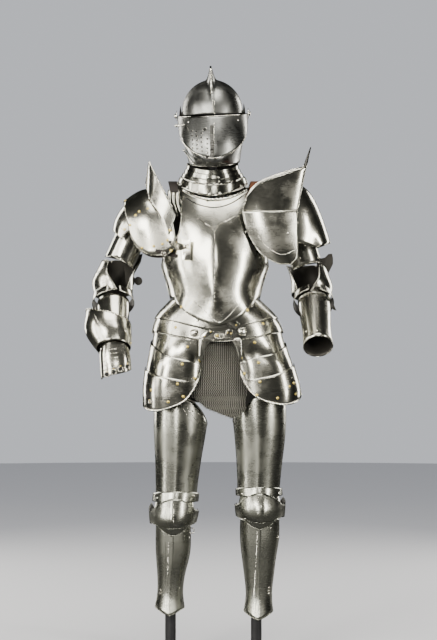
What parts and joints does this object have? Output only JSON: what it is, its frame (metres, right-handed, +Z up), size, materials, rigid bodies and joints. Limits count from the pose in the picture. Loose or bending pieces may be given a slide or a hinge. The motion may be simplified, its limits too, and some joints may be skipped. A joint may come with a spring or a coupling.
{
  "type": "suit of plate armour on a display stand",
  "caption": "Field armour of thin overlapping steel plates with a hinged visor, a folding lance rest, a mail skirt and a gauntlet, standing hollow on two posts of a display stand.",
  "frame": {"origin": "on the floor, at the middle of the whole object seen from above", "axes": "+Z up, the armour faces -Y, +X is the wearer's left"},
  "size_m": [0.775, 0.4652, 1.8473],
  "materials": {
    "steel": "polished plate with hammer marks, light scratches and darker hollows",
    "leg_steel": "satin plate, duller and greyer than the body",
    "mail": "riveted iron rings, dull",
    "leather": "old dark leather",
    "red_leather": "orange-red leather",
    "stand_paint": "satin black paint"
  },
  "bodies": {
    "root": {"stand_base": "stand_paint", "stand_frame": "stand_paint", "helmet_skull": "steel", "helmet_bevor": "steel", "bevor_hook": "steel", "neck_front_1": "steel", "neck_front_2": "steel", "neck_front_3": "steel", "neck_front_4": "steel", "neck_rear_1": "steel", "neck_rear_2": "steel", "breastplate": "steel", "backplate": "steel", "fauld_waist": "steel", "fauld_hip": "steel", "culet_waist": "steel", "culet_hip": "steel", "shoulder_strap_r": "leather", "shoulder_strap_l": "red_leather", "lance_rest_bracket": "steel", "tasset_r_1": "steel", "tasset_r_2": "steel", "tasset_r_3": "steel", "tasset_l_1": "steel", "tasset_l_2": "steel", "tasset_l_3": "steel", "mail_skirt": "mail", "cuisse_r": "leg_steel", "poleyn_upper_r": "leg_steel", "poleyn_lower_r": "leg_steel", "poleyn_cop_r": "leg_steel", "greave_front_r": "leg_steel", "greave_back_r": "leg_steel", "cuisse_l": "leg_steel", "poleyn_upper_l": "leg_steel", "poleyn_lower_l": "leg_steel", "poleyn_cop_l": "leg_steel", "greave_front_l": "leg_steel", "greave_back_l": "leg_steel", "upper_cannon_r": "steel", "couter_r": "steel", "couter_lame_r": "steel", "lower_cannon_r": "steel", "gauntlet_cuff": "steel", "gauntlet_hand": "steel", "upper_cannon_l": "steel", "couter_l": "steel", "couter_lame_l": "steel", "lower_cannon_l": "steel", "pauldron_r": "steel", "pauldron_r_cap": "steel", "haute_piece_r": "steel", "pauldron_l": "steel", "pauldron_l_guard": "steel", "haute_piece_l": "steel"},
    "visor": {"helmet_visor": "steel", "visor_pivot_r": "steel", "visor_pivot_l": "steel", "lifting_peg": "steel"},
    "lance_rest": {"lance_rest_arm": "steel"}
  },
  "joints": [
    {"name": "visor_hinge", "type": "hinge", "parent": "root", "child": "visor", "pos_m": [0.00836, -0.00236, 1.695], "axis": [-0.9993, 0, -0.0384], "range_deg": [0, 36]},
    {"name": "lance_rest_fold", "type": "hinge", "parent": "root", "child": "lance_rest", "pos_m": [-0.07704, -0.15036, 1.28], "axis": [-0.8829, 0.4695, 0], "range_deg": [0, 80]}
  ]
}
